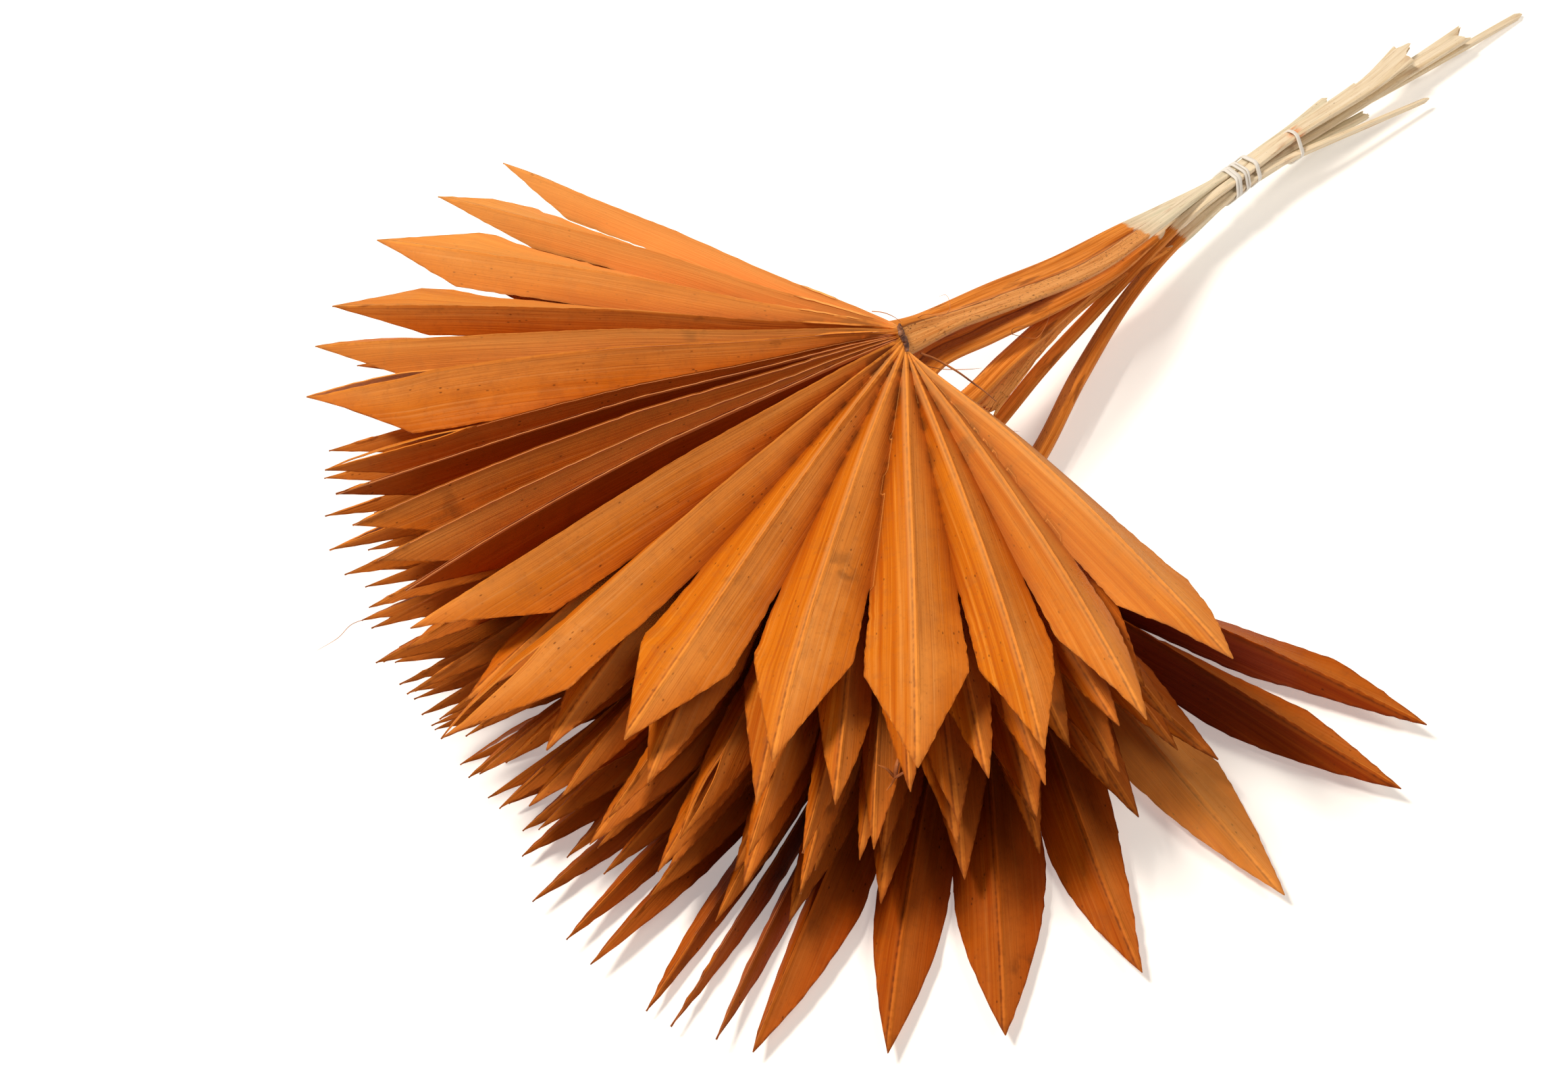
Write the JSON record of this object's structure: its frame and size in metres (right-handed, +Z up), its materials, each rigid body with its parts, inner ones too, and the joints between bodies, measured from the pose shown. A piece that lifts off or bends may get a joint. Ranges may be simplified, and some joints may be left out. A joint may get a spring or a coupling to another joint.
{
  "type": "dried fan palm leaf bunch",
  "caption": "Bunch of dried, orange-dyed fan palm leaves with pleated blades and pale cut stalks, tied with elastic and lying on its side.",
  "frame": {"origin": "middle of the bunch's footprint, on the surface that it lies on", "axes": "+X along the stalks from the blades to the cut ends, +Z up out of the surface, so the leaf tips point towards -X"},
  "size_m": [0.5828, 0.3628, 0.0864],
  "materials": {
    "dyed_leaf": "dried and dyed leaf, satin along the ribs and matte between them",
    "petiole": "dry straw-like stalk, dyed orange up to a sharp line",
    "elastic": "matte off-white elastic"
  },
  "bodies": {
    "root": {"leaf_1_blade": "dyed_leaf", "leaf_2_blade": "dyed_leaf", "leaf_3_blade": "dyed_leaf", "leaf_4_blade": "dyed_leaf", "leaf_5_blade": "dyed_leaf", "leaf_6_blade": "dyed_leaf", "leaf_7_blade": "dyed_leaf", "leaf_1_petiole": "petiole", "leaf_2_petiole": "petiole", "leaf_3_petiole": "petiole", "leaf_4_petiole": "petiole", "leaf_5_petiole": "petiole", "leaf_6_petiole": "petiole", "leaf_7_petiole": "petiole", "elastic_wrap_1": "elastic", "elastic_wrap_2": "elastic", "elastic_wrap_3": "elastic", "elastic_wrap_4": "elastic"}
  },
  "joints": []
}
